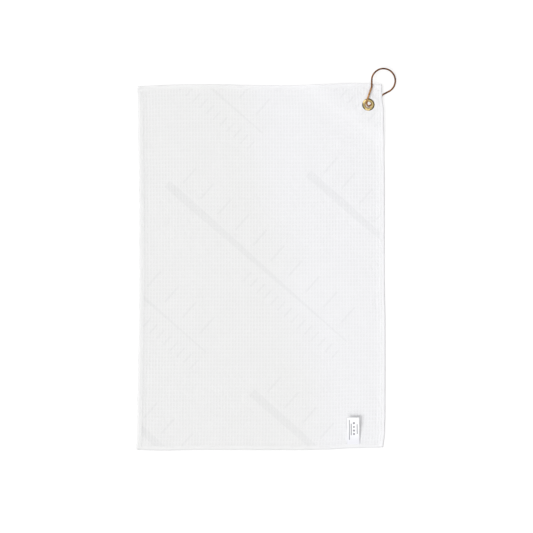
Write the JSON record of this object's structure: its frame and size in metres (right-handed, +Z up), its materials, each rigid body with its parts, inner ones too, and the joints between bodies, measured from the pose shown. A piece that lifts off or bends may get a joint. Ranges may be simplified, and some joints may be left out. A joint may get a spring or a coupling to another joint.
{
  "type": "golf towel",
  "caption": "Waffle-weave towel with sewn hems, a brass grommet in one corner, a pear-shaped wire hook that hangs it from a bag, and a folded label at the bottom hem.",
  "frame": {"origin": "centre of the cloth's underside, which lies flat on a surface at Z = 0", "axes": "+X along the towel's width towards the side with the grommet; +Y along its length towards the end with the grommet; +Z up, out of the face that carries the label"},
  "size_m": [0.4267, 0.6357, 0.0102],
  "materials": {
    "waffle": "matt waffle-weave microfibre",
    "thread": "spun polyester sewing thread",
    "brass": "bright rolled brass",
    "bronze_wire": "bronze-coloured spring wire",
    "ribbon": "satin-woven ribbon with grey print"
  },
  "bodies": {
    "towel": {"waffle_cloth": "waffle", "hem_thread_top": "thread", "hem_thread_bottom": "thread", "hem_thread_left": "thread", "hem_thread_right": "thread", "grommet_eyelet": "brass", "grommet_washer": "brass"},
    "hook": {"hook_wire": "bronze_wire"},
    "label_flap": {"label": "ribbon"}
  },
  "joints": [
    {"name": "hook_swing", "type": "hinge", "parent": "towel", "child": "hook", "pos_m": [0.1772, 0.2698, 0.0051], "axis": [0, 0, 1], "range_deg": [-60, 50]},
    {"name": "label_lift", "type": "hinge", "parent": "towel", "child": "label_flap", "pos_m": [0.1528, -0.2963, 0.00255], "axis": [1, 0, 0], "range_deg": [0, 120]}
  ]
}
